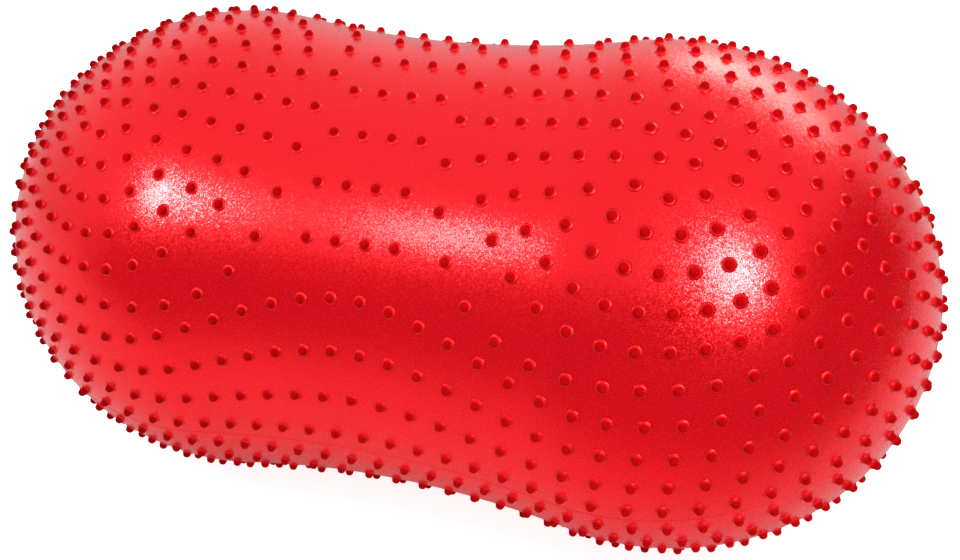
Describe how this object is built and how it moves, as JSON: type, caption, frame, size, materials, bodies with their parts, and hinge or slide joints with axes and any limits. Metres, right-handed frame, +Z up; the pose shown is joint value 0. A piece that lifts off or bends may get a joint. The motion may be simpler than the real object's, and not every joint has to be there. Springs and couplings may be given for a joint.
{
  "type": "peanut ball",
  "caption": "Inflatable exercise ball with two round lobes, a shallow waist, massage nubs all over and a plugged air valve at one end",
  "frame": {"origin": "on the floor, under the middle of the ball's long axis", "axes": "+X along the long axis, away from the valve, +Z up"},
  "size_m": [0.9072, 0.4622, 0.4606],
  "materials": {
    "skin_vinyl": "satin, soft moulded vinyl",
    "insert_vinyl": "satin, moulded vinyl",
    "plug_plastic": "satin"
  },
  "bodies": {
    "ball": {"skin": "skin_vinyl", "valve_insert": "insert_vinyl"},
    "plug": {"valve_plug": "plug_plastic"}
  },
  "joints": [
    {"name": "plug_pull", "type": "slide", "parent": "ball", "child": "plug", "axis": [-1, 0, 0], "range_m": [0, 0.028]}
  ]
}
